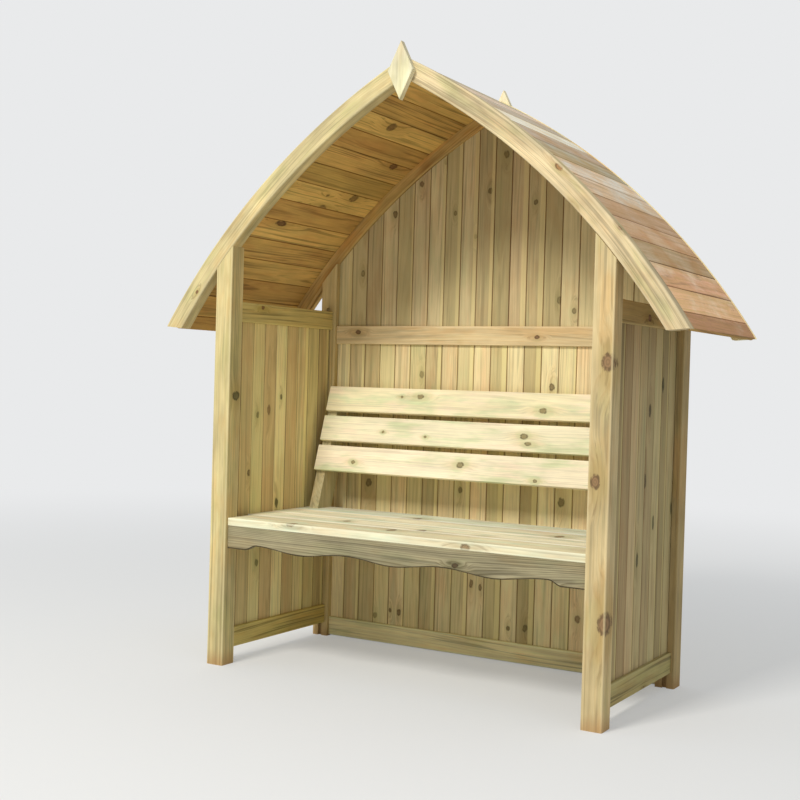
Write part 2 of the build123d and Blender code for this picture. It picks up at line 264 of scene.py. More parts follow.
def make_figure_group():
    """The figure of softwood at a point: u along the grain, v across the face, and deep.

    Rings lie round a pith that wanders along the length, and swell round each knot."""
    w, given = new_group(
        "Softwood figure",
        {
            "Grain Place": PLACE,
            "Chosen Knots": FAR,
            "Chosen Swirls": FAR,
            "Pith Across": 0.02,
            "Pith Depth": 0.07,
            "Wander": 0.04,
            "Ring Width": 0.005,
            "Knot Share": 0.3,
        },
        FIGURE_MASKS,
    )
    place = given["Grain Place"]
    u, v, deep = w.split(place)

    def stretched(along, across):
        return w.join(w.times(u, along), w.times(v, across), w.times(deep, across))

    # scattered knots: one may stand in each cell along the length
    cells = w.add("TexVoronoi")
    where = stretched(along=1 / KNOT_CELL[0], across=1 / KNOT_CELL[1])
    w.fill(cells, {"Vector": where, "Scale": 1.0, "Randomness": 0.9})
    chance, size_pick, _ = w.split(cells.outputs["Color"])
    off = w.vector("SUBTRACT", place, w.vector("MULTIPLY", cells.outputs["Position"], KNOT_CELL))
    knot_radius = w.scale_add(size_pick, KNOT_RANGE, KNOT_SMALLEST)
    missing = w.maths("GREATER_THAN", chance, given["Knot Share"])
    reach = []
    for shape, chosen in ((KNOT_SHAPE, "Chosen Knots"), (SWIRL_SHAPE, "Chosen Swirls")):
        scattered = w.maths("DIVIDE", w.vector("LENGTH", w.vector("MULTIPLY", off, shape)), knot_radius)
        scattered = w.scale_add(missing, FAR, scattered)
        reach.append(w.maths("MINIMUM", scattered, given[chosen]))
    patches = w.noise(stretched(along=55.0, across=110.0), detail=3.0, rough=0.6)
    away = w.times(reach[0], w.swing(patches, 0.45, 1.0))
    halo = w.ease(reach[1], 3.0, 0.6)

    # rings round the wandering pith
    wander = w.split(w.noise(stretched(along=1.1, across=0.8), detail=1.0, colour=True))
    from_v = w.minus(v, w.swing(wander[0], given["Wander"], given["Pith Across"]))
    from_deep = w.minus(deep, w.swing(wander[1], given["Wander"], given["Pith Depth"]))
    radius = w.maths("SQRT", w.maths("ADD", w.times(from_v, from_v), w.times(from_deep, from_deep)))
    waves = w.noise(stretched(along=2.2, across=18.0), detail=1.0)
    radius = w.swing(waves, w.times(given["Ring Width"], 0.8), radius)
    radius = w.scale_add(halo, RING_SWELL, radius)
    phase = w.maths("FRACT", w.maths("DIVIDE", radius, given["Ring Width"]))
    rings = w.times(w.maths("POWER", phase, 3.2), w.ease(phase, 1.0, 0.88))

    # streaks that follow the rings, in lightness and in hue, with fine dark lines
    def flowing(along, across):
        return w.join(w.times(u, along), w.times(radius, across), w.times(v, across * 0.35))

    streaks = w.split(w.noise(flowing(along=1.2, across=100.0), detail=5.0, rough=0.8, colour=True))
    broad = w.split(w.noise(stretched(along=4.5, across=15.0), detail=3.0, rough=0.6, colour=True))
    warm, green = (w.scale_add(streaks[i], 0.4, w.times(broad[i], 1.2)) for i in (1, 2))
    near_knot = w.times(w.ease(away, 4.0, 1.0), 0.24)
    return w.give(
        {
            "Rings": rings,
            "Streaks": streaks[0],
            "Clouds": broad[0],
            "Lines": w.ease(w.noise(flowing(along=1.3, across=170.0), detail=2.0, rough=0.6), 0.50, 0.35),
            "Warm": w.ease(warm, 0.76, 1.00),
            "Green": w.ease(w.maths("ADD", green, near_knot), 0.78, 1.06),
            "Fibre": w.noise(stretched(along=9.0, across=300.0), detail=3.0, rough=0.7),
            "Patches": patches,
            "Halo": halo,
            "Away": away,
        }
    )


def make_finish_group():
    """Turns the figure into the treated timber's colour, roughness and height."""
    w, given = new_group(
        "Treated softwood finish",
        {
            **FIGURE_MASKS,
            "Early Colour": display(CREAM),
            "Late Colour": display(STRAW),
            "Warm Colour": display(ROSE),
            "Green Colour": display(MOSS),
            "Knot Colour": display(UMBER),
            "Ring Amount": 0.6,
            "Streak Amount": 0.5,
            "Cloud Amount": 0.6,
            "Line Amount": 0.25,
            "Warm Amount": 0.5,
            "Green Amount": 0.4,
        },
        {"Colour": COLOUR, "Roughness": NUMBER, "Height": NUMBER},
    )
    away, patches, fibre = given["Away"], given["Patches"], given["Fibre"]
    late, knot = given["Late Colour"], given["Knot Colour"]

    def share(mask, amount):
        return w.times(given[mask], given[amount + " Amount"])

    colour = w.blend(share("Warm", "Warm"), given["Early Colour"], given["Warm Colour"])
    colour = w.blend(share("Green", "Green"), colour, given["Green Colour"])
    colour = w.blend(share("Rings", "Ring"), colour, late)
    level = w.swing(given["Streaks"], given["Streak Amount"], 1.0)
    level = w.swing(given["Clouds"], given["Cloud Amount"], level)
    level = w.times(level, w.minus(1.0, share("Lines", "Line")))
    level = w.times(level, w.spread(fibre, 0.3, 0.7, 0.92, 1.08))
    colour = w.shade(colour, level)

    # a knot: a soft core, patchy and ringed, dark along part of its rim, and the
    # darker late wood that flows round it
    colour = w.blend(w.times(given["Halo"], 0.4), colour, late)
    core = w.times(w.ease(away, 1.22, 0.72), w.spread(patches, 0.30, 0.50, 0.6, 0.9))
    blotch = w.ease(patches, 0.47, 0.36)
    ringlets = w.scale_add(w.maths("SINE", w.times(away, 15.0)), 0.16, 1.12)
    knot_level = w.times(ringlets, w.scale_add(blotch, -0.4, 1.0))
    colour = w.blend(core, colour, w.shade(knot, knot_level))
    rim = w.ease(w.maths("ABSOLUTE", w.minus(away, 0.95)), 0.42, 0.05)
    rim = w.times(rim, w.ease(patches, 0.62, 0.44, 0.1, 0.75))
    colour = w.blend(rim, colour, w.shade(knot, w.times(ringlets, 0.42)))

    rough = w.scale_add(fibre, 0.10, w.scale_add(given["Rings"], -0.08, 0.72))
    height = w.scale_add(given["Rings"], 0.5, fibre)
    height = w.scale_add(given["Lines"], -0.6, height)
    height = w.scale_add(core, -0.7, height)
    return w.give({"Colour": colour, "Roughness": rough, "Height": height})


def make_board_group():
    """Tells boards apart by tone and hue, gives each a strip of paler sapwood down one edge, and darkens the
    joints with dirt and painted shade."""
    w, given = new_group(
        "Board by board",
        {
            "Colour": COLOUR,
            "Board": PLACE,
            "Ragged": 0.5,
            "Pink Colour": display(ROSE),
            "Green Colour": display(MOSS),
            "Sapwood Colour": display(CREAM),
            "Tone Range": 0.3,
            "Hue Range": 0.4,
            "Sapwood Amount": 0.5,
            "Joint Dirt And Shade": 0.5,
            "Joint Share": 0.06,
        },
        {"Colour": COLOUR},
    )
    tone, hue, across = w.split(given["Board"])
    colour = given["Colour"]
    for name, end in (("Pink", 1.0), ("Green", 0.0)):
        share = w.times(w.spread(hue, 0.5, end), given["Hue Range"])
        colour = w.blend(share, colour, given[name + " Colour"])
    level = w.swing(tone, given["Tone Range"], 1.0)
    # a dark board is browner too
    tint = w.join(level, w.maths("POWER", level, 1.12), w.maths("POWER", level, 1.35))
    colour = w.blend(1.0, colour, tint, "MULTIPLY")
    edge = w.swing(given["Ragged"], 0.12, across)
    start = w.scale_add(w.maths("FRACT", w.times(tone, 7.0)), 0.42, 0.16)
    strip = w.times(w.ease(w.minus(edge, start), 0.0, 0.035), given["Sapwood Amount"])
    colour = w.blend(strip, colour, given["Sapwood Colour"])
    # dirt and painted shade in the joints between boards
    from_joint = w.minus(0.5, w.maths("ABSOLUTE", across))
    reach = w.times(given["Joint Share"], w.swing(given["Ragged"], -2.2, 1.0))
    dirt_and_shade = w.ease(from_joint, w.maths("MAXIMUM", reach, 0.01), 0.0)
    dirty_and_shaded = w.blend(1.0, colour, display(JOINT_DIRT_AND_SHADE), "MULTIPLY")
    return w.give({"Colour": w.blend(w.times(dirt_and_shade, given["Joint Dirt And Shade"]), colour, dirty_and_shaded)})


def make_arch_group():
    """Grain that follows an arch: u round it, v down from its outer edge, and deep."""
    w, given = new_group(
        "Arched grain",
        {"Place": PLACE, "Centre Aside": 0.0, "Centre Height": 0.0, "Outer Radius": 1.0},
        {"Grain Place": PLACE},
    )
    x, y, z = w.split(given["Place"])
    aside = w.minus(w.maths("ABSOLUTE", x), given["Centre Aside"])
    up = w.minus(z, given["Centre Height"])
    outer = given["Outer Radius"]
    along = w.times(w.maths("ARCTAN2", up, aside), outer)
    inward = w.minus(outer, w.vector("LENGTH", w.join(aside, up, 0.0)))
    return w.give({"Grain Place": w.join(along, inward, y)})


def make_weather_group():
    """The bleached outer face of the roof: rosy low down, and greyer toward the ridge."""
    w, given = new_group(
        "Weathered outside",
        {"Colour": COLOUR, "Place": PLACE, "Outer": 0.0, "Streaks": 0.5, "Patches": 0.5},
        {"Colour": COLOUR},
    )
    _, y, height = w.split(given["Place"])
    streaks = given["Streaks"]
    outer = w.spread(given["Outer"], 0.2, 0.45)
    clouds = w.noise(w.vector("MULTIPLY", given["Place"], CLOUD_SCALE), detail=4.0, rough=0.62)
    level = w.swing(clouds, 0.9, height)
    bleached = w.blend(w.ease(level, ROSY_HEIGHT, PALE_HEIGHT), display(ROOF_ROSY), display(ROOF_PALE))
    bleached = w.blend(w.ease(level, PALE_HEIGHT, GREY_HEIGHT), bleached, display(ROOF_GREY))
    lit = w.swing(given["Patches"], 0.35, 1.0)
    bleached = w.shade(bleached, w.swing(streaks, 1.1, lit))
    patchy = w.scale_add(clouds, 0.65, w.swing(streaks, 1.5, 0.36))
    share = w.times(outer, w.maths("MAXIMUM", w.maths("MINIMUM", patchy, 0.92), 0.0))
    colour = w.blend(share, given["Colour"], bleached)
    colour = w.shade(colour, w.scale_add(outer, 0.12, 1.0))
    ends = w.times(w.times(w.spread(y, ROOF_END_FROM, ROOF_END_TO), outer), 0.8)
    return w.give({"Colour": w.blend(ends, colour, display(ROOF_END))})


def make_arris_highlight_group():
    """Painted highlights along the arrises of a straight member of rectangular section."""
    w, given = new_group(
        "Painted arris highlights",
        {
            "Colour": COLOUR,
            "Grain Place": PLACE,
            "Ragged": 0.5,
            "Pale Colour": display(CREAM),
            "Middle Across": 0.0,
            "Middle Deep": 0.0,
            "Half Across": 0.03,
            "Half Deep": 0.03,
        },
        {"Colour": COLOUR},
    )
    _, v, deep = w.split(given["Grain Place"])
    insets = []
    for value, name in ((v, "Across"), (deep, "Deep")):
        off = w.maths("ABSOLUTE", w.minus(value, given["Middle " + name]))
        insets.append(w.maths("MAXIMUM", w.minus(given["Half " + name], off), 0.0))
    inset = w.swing(given["Ragged"], -ARRIS_RAGGED, w.maths("ADD", *insets))
    share = w.times(w.ease(inset, ARRIS_WIDE, ARRIS_BRIGHTEST), 0.55)
    return w.give({"Colour": w.blend(share, given["Colour"], given["Pale Colour"])})


def make_foot_group():
    """The brown of damp ground at the foot of a post."""
    w, given = new_group("Damp foot", {"Colour": COLOUR, "Place": PLACE, "Ragged": 0.5}, {"Colour": COLOUR})
    height = w.swing(given["Ragged"], FOOT_STAIN_RAGGED, w.split(given["Place"])[2])
    share = w.times(w.ease(height, FOOT_STAIN_HIGH, 0.0), 0.55)
    return w.give({"Colour": w.blend(share, given["Colour"], display(FOOT_STAIN))})


SPOT = make_spot_group()
FIGURE = make_figure_group()
FINISH = make_finish_group()
BOARD = make_board_group()
ARRIS = make_arris_highlight_group()
ARCH = make_arch_group()
WEATHER = make_weather_group()
FOOT = make_foot_group()

# the arch of the roof, in metres aside and up: one arc a slope, from the eave's tip to the ridge
ARCH_RADIUS = 2340 * MM
tip = Vector((0.926, 1.140))
ridge = Vector((0.0, 1.974))
half_chord = (tip - ridge).length / 2
chord_middle = (tip + ridge) / 2
chord_way = (ridge - tip).normalized()
arch_centre = chord_middle + math.sqrt(ARCH_RADIUS**2 - half_chord**2) * Vector((-chord_way.y, chord_way.x))

# for each axis that fibres follow, the axes along the grain, across it and deep
AXES = {"X": (0, 2, 1), "Y": (1, 2, 0), "Z": (2, 0, 1)}


def grain_of(point, grain, shift):
    """Where a point of a member lies on its own grain."""
    if grain == "arch":
        off = Vector((abs(point[0]), point[2])) - arch_centre
        order = (math.atan2(off.y, off.x) * ARCH_RADIUS, ARCH_RADIUS - off.length, point[1])
    else:
        order = tuple(point[axis] for axis in AXES[grain])
    return (order[0] + shift, *order[1:])


def timber(
    name,
    grain,
    shift=0.0,
    early=CREAM,
    late=None,
    warm_colour=None,
    green_colour=None,
    knot_colour=UMBER,
    pith=(0.02, 0.07),
    wander=0.04,
    ring_width=0.006,
    ring=0.35,
    streak=0.5,
    cloud=0.6,
    line=0.28,
    warm=0.4,
    green=0.35,
    knot_share=0.2,
    knots=(),
    boards=None,
    section=None,
    sawn_edge=None,
    foot=False,
    weathered=False,
):
    """A timber finish. Grain is the axis that the fibres follow, "arch" for a rafter, or
    "board" for the grain attribute of a boarded piece. Shift moves the figure along that
    axis, each chosen knot is x, y, z, a radius and a stretch along the grain, in metres,
    and the section is the middle and the half sizes of a straight member, across and deep."""
    late = late or scaled(early, LATE_TINT)
    warm_colour = warm_colour or scaled(early, WARM_TINT)
    green_colour = green_colour or scaled(early, GREEN_TINT)
    material = bpy.data.materials.new(name)
    material.use_nodes = True
    w = Wires(material.node_tree)
    w.tree.nodes.clear()
    here = w.add("TexCoord").outputs["Object"]
    if grain == "board":
        place = w.attribute("grain")["Vector"]
    elif grain == "arch":
        centre = {"Centre Aside": arch_centre.x, "Centre Height": arch_centre.y}
        arch = w.group(ARCH, {"Place": here, "Outer Radius": ARCH_RADIUS, **centre})
        place = w.vector("ADD", arch["Grain Place"], (shift, 0.0, 0.0))
    else:
        parts = w.split(here)
        place = w.vector("ADD", w.join(*(parts[axis] for axis in AXES[grain])), (shift, 0.0, 0.0))

    nearest = (FAR, FAR)
    for *centre, radius, stretch in knots:
        centre = centre if grain == "board" else grain_of(centre, grain, shift)
        spot = w.group(SPOT, {"Grain Place": place, "Centre": centre, "Radius": radius, "Stretch": stretch})
        nearest = [w.maths("MINIMUM", a, b) for a, b in zip(nearest, (spot["Away"], spot["Around"]))]
    figure = w.group(
        FIGURE,
        {
            "Grain Place": place,
            "Chosen Knots": nearest[0],
            "Chosen Swirls": nearest[1],
            "Pith Across": pith[0],
            "Pith Depth": pith[1],
            "Wander": wander,
            "Ring Width": ring_width,
            "Knot Share": knot_share,
        },
    )
    colours = {"Early": early, "Late": late, "Warm": warm_colour, "Green": green_colour, "Knot": knot_colour}
    amounts = {"Ring": ring, "Streak": streak, "Cloud": cloud, "Line": line, "Warm": warm, "Green": green}
    finish = w.group(
        FINISH,
        {
            **{mask: figure[mask] for mask in FIGURE_MASKS},
            **{kind + " Colour": display(rgb) for kind, rgb in colours.items()},
            **{kind + " Amount": amount for kind, amount in amounts.items()},
        },
    )
    colour = finish["Colour"]
    streaks = figure["Streaks"]
    if weathered:
        given = {"Colour": colour, "Place": here, "Outer": w.attribute("outer")["Fac"]}
        colour = w.group(WEATHER, {**given, "Streaks": streaks, "Patches": figure["Patches"]})["Colour"]
    if boards:
        given = {"Colour": colour, "Board": w.attribute("board")["Vector"], "Ragged": streaks}
        colour = w.group(BOARD, {**given, **boards})["Colour"]
    # painted highlights along the arrises of a straight member, paler than its early wood
    if section:
        sizes = zip(("Middle Across", "Middle Deep", "Half Across", "Half Deep"), section)
        given = {"Colour": colour, "Grain Place": place, "Ragged": streaks, **dict(sizes)}
        given["Pale Colour"] = display(scaled(early, ARRIS_HIGHLIGHT_TINT))
        colour = w.group(ARRIS, given)["Colour"]
    # painted shade, with some dark stain, along a sawn edge
    if sawn_edge:
        colour = w.blend(sawn_edge(w, here), colour, display(EDGE_SHADE_STAIN_COLOUR))
    if foot:
        colour = w.group(FOOT, {"Colour": colour, "Place": here, "Ragged": streaks})["Colour"]
    bump = w.add("Bump")
    w.fill(bump, {"Strength": 0.4, "Distance": 0.0006, "Height": finish["Height"]})
    wood = w.add("BsdfPrincipled")
    w.fill(wood, {"Base Color": colour, "Roughness": finish["Roughness"], "Specular IOR Level": 0.25})
    w.put(bump.outputs["Normal"], wood.inputs["Normal"])
    w.add("OutputMaterial", wood.outputs["BSDF"])
    return material


def wear(piece, material):
    """Gives a piece or a CAD node its material, and no other."""
    piece.data.materials.clear()
    piece.data.materials.append(material)


# matchboard

BOARD_THICK = 14 * MM
V_WIDE = 2.0 * MM
JOINT_GAP = 0.6 * MM
TONGUE_HALF = 2.0 * MM
TONGUE_LONG = 5.0 * MM
TINY = 0.01 * MM
FACING = 0.9
# the faces, by their side in Y, that show a V between boards
BOTH_FACES = (-1, 1)
UNDERSIDE = (-1,)

# where each panel's grain starts along, so that no two share their figure, in metres
LOWER_RUN = 0.0
UPPER_RUN = 100.0
SIDE_RUN = 200.0
ROOF_RUN = 400.0
RUN_APART = 50.0
# how far the grain is moved from one board to the next, and at random, in metres
BOARD_RUN = 3.0
GRAIN_ASIDE = 0.04
GRAIN_DEEP = 0.03
# what a miss in depth counts for, where the board under a knot is looked for
DEPTH_COUNTS = 10


def select_only(objects):
    """Selects these objects and no others, and makes the first one active."""
    bpy.ops.object.select_all(action="DESELECT")
    for item in objects:
        item.select_set(True)
    bpy.context.view_layer.objects.active = objects[0]


def select_faces(mesh, wanted):
    """Selects, in edit mode's face mode, the faces for which wanted(face) holds."""
    bpy.ops.object.mode_set(mode="OBJECT")
    for vertex in mesh.vertices:
        vertex.select = False
    for edge in mesh.edges:
        edge.select = False
    for face in mesh.polygons:
        face.select = wanted(face)
    bpy.ops.object.mode_set(mode="EDIT")


def make_board(name, width, length, v_faces):
    """One tongued and grooved board: width along X, thickness along Y, length along Z.

    It is centred on X and Y and starts at Z = 0. The long edges of the v_faces are
    chamfered, to make half of a V each."""
    bpy.ops.mesh.primitive_cube_add(size=1.0, location=(0, 0, length / 2))
    board = bpy.context.object
    board.name = name
    board.scale = (width - JOINT_GAP, BOARD_THICK, length)
    bpy.ops.object.transform_apply(location=True, rotation=False, scale=True)
    mesh = board.data
    bpy.ops.object.mode_set(mode="EDIT")
    bpy.ops.mesh.select_mode(type="EDGE")
    bpy.ops.object.mode_set(mode="OBJECT")
    for edge in mesh.edges:
        a, b = (mesh.vertices[i].co for i in edge.vertices)
        upright = abs(a.x - b.x) < TINY and abs(a.y - b.y) < TINY
        edge.select = upright and any(a.y * side > 0 for side in v_faces)
    bpy.ops.object.mode_set(mode="EDIT")
    bpy.ops.mesh.bevel(offset=V_WIDE, segments=1, affect="EDGES")
    for height in (-TONGUE_HALF, TONGUE_HALF):
        bpy.ops.mesh.select_all(action="SELECT")
        bpy.ops.mesh.bisect(plane_co=(0, height, 0), plane_no=(0, 1, 0))
    bpy.ops.mesh.select_mode(type="FACE")
    for side, reach in ((1, TONGUE_LONG), (-1, TONGUE_LONG + JOINT_GAP)):
        select_faces(mesh, lambda f: f.normal.x * side > FACING and abs(f.center.y) < TONGUE_HALF)
        bpy.ops.mesh.extrude_region_move(TRANSFORM_OT_translate={"value": (reach, 0, 0)})
    bpy.ops.mesh.select_all(action="SELECT")
    bpy.ops.mesh.normals_make_consistent(inside=False)
    bpy.ops.object.mode_set(mode="OBJECT")
    return board


class Panel:
    """A row of boards that becomes one piece, and remembers where each board's grain is."""

    def __init__(self, name, width, length, v_faces, seed, run):
        self.template = make_board(name, width, length, v_faces)
        self.width = width
        self.rng = random.Random(seed)
        self.run = run
        self.boards = []
        self.places = []

    def add(self, place, cuts=(), tone=None, hue=None):
        """A copy of the template with its own mesh, set in place by a matrix. A cut is a
        plane, (point, normal), in the template's own axes: what lies beyond it goes."""
        board = self.template.copy()
        board.data = self.template.data.copy()
        bpy.context.collection.objects.link(board)
        if cuts:
            select_only([board])
            bpy.ops.object.mode_set(mode="EDIT")
            for point, normal in cuts:
                bpy.ops.mesh.select_all(action="SELECT")
                bpy.ops.mesh.bisect(plane_co=point, plane_no=normal, use_fill=True, clear_outer=True)
            bpy.ops.object.mode_set(mode="OBJECT")
        along = self.run + BOARD_RUN * len(self.boards)
        aside = self.rng.uniform(-GRAIN_ASIDE, GRAIN_ASIDE)
        deep = self.rng.uniform(-GRAIN_DEEP, GRAIN_DEEP)
        picks = (self.rng.random(), self.rng.random())
        tone = picks[0] if tone is None else tone
        hue = picks[1] if hue is None else hue
        grain, kind = [], []
        for vertex in board.data.vertices:
            grain += [vertex.co.z + along, vertex.co.x + aside, vertex.co.y + deep]
            kind += [tone, hue, max(-0.5, min(0.5, vertex.co.x / (self.width - JOINT_GAP)))]
        for name, values in (("grain", grain), ("board", kind)):
            board.data.attributes.new(name, "FLOAT_VECTOR", "POINT")
            board.data.attributes[name].data.foreach_set("vector", values)
        board.data.attributes.new("outer", "FLOAT", "POINT")
        outer = [vertex.co.y / BOARD_THICK for vertex in board.data.vertices]
        board.data.attributes["outer"].data.foreach_set("value", outer)
        board.data.transform(place)
        self.boards.append(board)
        self.places.append((place.inverted(), Vector((along, aside, deep))))

    def knot(self, x, y, z, radius, stretch=1.3):
        """A chosen knot at a point of the panel, on the grain of the board there."""
        best = None
        for back, offset in self.places:
            local = back @ Vector((x, y, z))
            miss = abs(local.x) / self.width + abs(local.y) * DEPTH_COUNTS
            if best is None or miss < best[0]:
                best = (miss, Vector((local.z, local.x, local.y)) + offset)
        return (*best[1], radius, stretch)

    def finish(self, node_name, slot, material):
        """Joins the boards into one piece that stands for a CAD node."""
        bpy.data.objects.remove(self.template, do_unlink=True)
        select_only(self.boards)
        bpy.ops.object.join()
        piece = bpy.context.object
        piece.name = piece.data.name = node_name.replace("_boards", "_boarding")
        wear(piece, material)
        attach(piece, "root")
        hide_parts(node_name)


# places, from the frame, and the sizes of the boarding
wall_low, wall_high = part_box("back_lower_boards")
upper_low, upper_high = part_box("back_upper_boards")
roof_low, roof_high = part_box("right_roof_boards")

BACK_COVER = 65.5 * MM
SIDE_FIRST = 32 * MM
SIDE_WHOLE_BOARDS = 8
RIPPED_PLAY = 0.5 * MM
ROOF_COVER = 88 * MM
EAVE_COVER = 55 * MM
ROOF_DROP = 2 * MM
EAVE_LIFT = 5 * MM
RAFTER_HEIGHT = 60 * MM
GROOVE_REACH = 9.5 * MM
RIDGE_GAP = 0.6 * MM

# the gable's boards past this x are pale and green: their tone and hue
GREEN_FROM = 0.3
GREEN_BOARD = (0.85, 0.15)

# the back wall's knots: x, height, radius and, for a long one, stretch
LOWER_KNOTS = (
    (-0.276, 1.000, 0.009), (0.239, 0.968, 0.009), (-0.492, 0.591, 0.011),
    (-0.106, 0.590, 0.008), (0.286, 0.574, 0.011), (-0.050, 0.259, 0.007, 2.0),
    (-0.014, 0.249, 0.005, 2.2), (-0.448, 0.099, 0.008), (-0.383, 0.125, 0.006),
    (-0.345, 0.121, 0.008), (0.165, 0.126, 0.009), (0.100, 0.118, 0.006),
    (0.359, 0.181, 0.009),
)
UPPER_KNOTS = (
    (0.040, 1.780, 0.009), (-0.019, 1.654, 0.008), (-0.073, 1.495, 0.006),
    (-0.157, 1.582, 0.006), (0.158, 1.607, 0.007), (-0.198, 1.771, 0.009),
    (-0.299, 1.694, 0.008), (-0.409, 1.588, 0.009), (-0.543, 1.373, 0.008),
    (0.259, 1.267, 0.010), (0.313, 1.230, 0.007),
)


def arch_height(radius, x):
    """Height of an arch of this radius over x, on the right-hand side or the left."""
    return arch_centre.y + math.sqrt(radius**2 - (abs(x) - arch_centre.x) ** 2)


def board_back():
    """The back wall: upright matchboard below the middle rail, and above it to the arch."""
    y = (wall_low.y + wall_high.y) / 2
    count = round((wall_high.x - wall_low.x) / BACK_COVER)
    lefts = [(i - count / 2) * BACK_COVER for i in range(count)]
    length = wall_high.z - wall_low.z
    lower = Panel("wall_board", BACK_COVER, length, BOTH_FACES, seed=11, run=LOWER_RUN)
    for left in lefts:
        lower.add(Matrix.Translation((left + BACK_COVER / 2, y, wall_low.z)))
    knots = [lower.knot(x, wall_low.y, z, *size) for x, z, *size in LOWER_KNOTS]
    material = wall_finish("back_lower_matchboard", knots, BACK_KNOT, light_and_shade_lift=(1.12, 1.14, 1.17))
    lower.finish("back_lower_boards", "cladding", material)

    length = upper_high.z - upper_low.z
    reach = ARCH_RADIUS - RAFTER_HEIGHT + GROOVE_REACH
    upper = Panel("gable_board", BACK_COVER, length, BOTH_FACES, seed=23, run=UPPER_RUN)
    for left in lefts:
        right = left + BACK_COVER
        middle = (left + right) / 2
        z_left, z_right = (arch_height(reach, x) - upper_low.z for x in (left, right))
        slope = Vector((right - left, 0, z_right - z_left)).normalized()
        cut = ((left - middle, 0, z_left), (-slope.z, 0, slope.x))
        tone, hue = GREEN_BOARD if left > GREEN_FROM else (None, None)
        upper.add(Matrix.Translation((middle, y, upper_low.z)), (cut,), tone, hue)
    knots = [upper.knot(x, wall_low.y, z, *size) for x, z, *size in UPPER_KNOTS]
    material = wall_finish("back_upper_matchboard", knots, BACK_KNOT, light_and_shade_lift=(1.00, 1.01, 1.04))
    upper.finish("back_upper_boards", "cladding", material)


def board_side(side, side_name, seed, light_and_shade_lift, face, spots):
    """One side wall of upright matchboard, the first board ripped to fit. The spots are
    knots on the face at this x: y, height, radius and stretch."""
    low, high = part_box(side_name + "_side_boards")
    first, last = low.y + GROOVE_REACH, high.y - GROOVE_REACH
    cover = (last - first - SIDE_FIRST) / SIDE_WHOLE_BOARDS
    x = (low.x + high.x) / 2
    turn = Matrix.Rotation(math.radians(90), 4, "Z")
    run = SIDE_RUN + RUN_APART * side
    panel = Panel("side_board", cover, high.z - low.z, BOTH_FACES, seed, run)
    for i in range(SIDE_WHOLE_BOARDS + 1):
        middle = first + SIDE_FIRST + cover * (i - 0.5)
        place = Matrix.Translation((x, middle, low.z)) @ turn
        cuts = (((low.y - middle + RIPPED_PLAY, 0, 0), (-1, 0, 0)),) if i == 0 else ()
        panel.add(place, cuts)
    knots = [panel.knot(face, y, z, *size) for y, z, *size in spots]
    material = wall_finish(side_name + "_side_matchboard", knots, SIDE_KNOT, light_and_shade_lift)
    panel.finish(side_name + "_side_boards", "cladding", material)


def board_roof(side, side_name, seed, spots, kinds):
    """One slope of the roof, of boards from front to back, each flat, in steps round
    the arch, the lowest ripped to fit and the highest cut along the ridge. kinds gives
    the tone and hue of each board, counted from the eave, where they are chosen."""
    top_radius = ARCH_RADIUS - ROOF_DROP
    run = ROOF_RUN + RUN_APART * side
    panel = Panel("roof_board", ROOF_COVER, roof_high.y - roof_low.y, UNDERSIDE, seed, run)
    tip_angle = math.atan2(tip.y - arch_centre.y, tip.x - arch_centre.x)
    end_angle = tip_angle + EAVE_LIFT / top_radius
    ridge_angle = math.atan2(math.sqrt(top_radius**2 - arch_centre.x**2), -arch_centre.x)
    step = ROOF_COVER / top_radius
    angle = end_angle + (EAVE_COVER - ROOF_COVER) / top_radius
    index = 0
    while angle < ridge_angle:
        middle = angle + step / 2
        centre_radius = top_radius * math.cos(step / 2) - BOARD_THICK / 2
        point = arch_centre + centre_radius * Vector((math.cos(middle), math.sin(middle)))
        outward = Vector((side * math.cos(middle), 0, math.sin(middle)))
        along = Vector((0, 1, 0))
        across = outward.cross(along)
        turn = Matrix((across, outward, along)).transposed().to_4x4()
        place = Matrix.Translation((side * point.x, roof_low.y, point.y)) @ turn
        back = place.inverted()
        cuts = []
        if index == 0:
            edge = arch_centre + top_radius * Vector((math.cos(end_angle), math.sin(end_angle)))
            local = back @ Vector((side * edge.x, 0, edge.y))
            way = 1 if (back.to_3x3() @ Vector((side, 0, -1))).x > 0 else -1
            cuts.append(((local.x, 0, 0), (way, 0, 0)))
        if angle + step > ridge_angle:
            local = back @ Vector((side * RIDGE_GAP / 2, 0, point.y))
            cuts.append((tuple(local), tuple(back.to_3x3() @ Vector((-side, 0, 0)))))
        tone, hue = kinds[index] if kinds else (None, None)
        panel.add(place, cuts, tone, hue)
        angle += step
        index += 1
    knots = [panel.knot(*spot) for spot in spots]
    material = roof_finish(side_name + "_roof_matchboard", knots)
    panel.finish(side_name + "_roof_boards", "roof", material)


def wall_finish(name, knots, knot_colour, light_and_shade_lift):
    """Matchboard of the walls: brown, straw and moss boards with a strip of sapwood.
    Lift makes the whole wall lighter or darker, channel by channel: painted light and shade, set wall by
    wall."""
    return timber(
        name,
        "board",
        early=scaled((205, 185, 137), light_and_shade_lift),
        late=scaled((164, 136, 88), light_and_shade_lift),
        warm_colour=scaled((198, 160, 112), light_and_shade_lift),
        green_colour=scaled((184, 182, 130), light_and_shade_lift),
        knot_colour=knot_colour,
        streak=0.42,
        cloud=0.4,
        line=0.24,
        warm=0.4,
        green=0.4,
        knot_share=0.04,
        knots=knots,
        boards={
            "Pink Colour": display(scaled((188, 148, 104), light_and_shade_lift)),
            "Green Colour": display(scaled((184, 172, 112), light_and_shade_lift)),
            "Sapwood Colour": display(scaled((226, 206, 142), light_and_shade_lift)),
            "Tone Range": 0.48,
            "Hue Range": 0.36,
            "Sapwood Amount": 0.5,
            "Joint Dirt And Shade": 0.75,
            "Joint Share": 0.05,
        },
    )


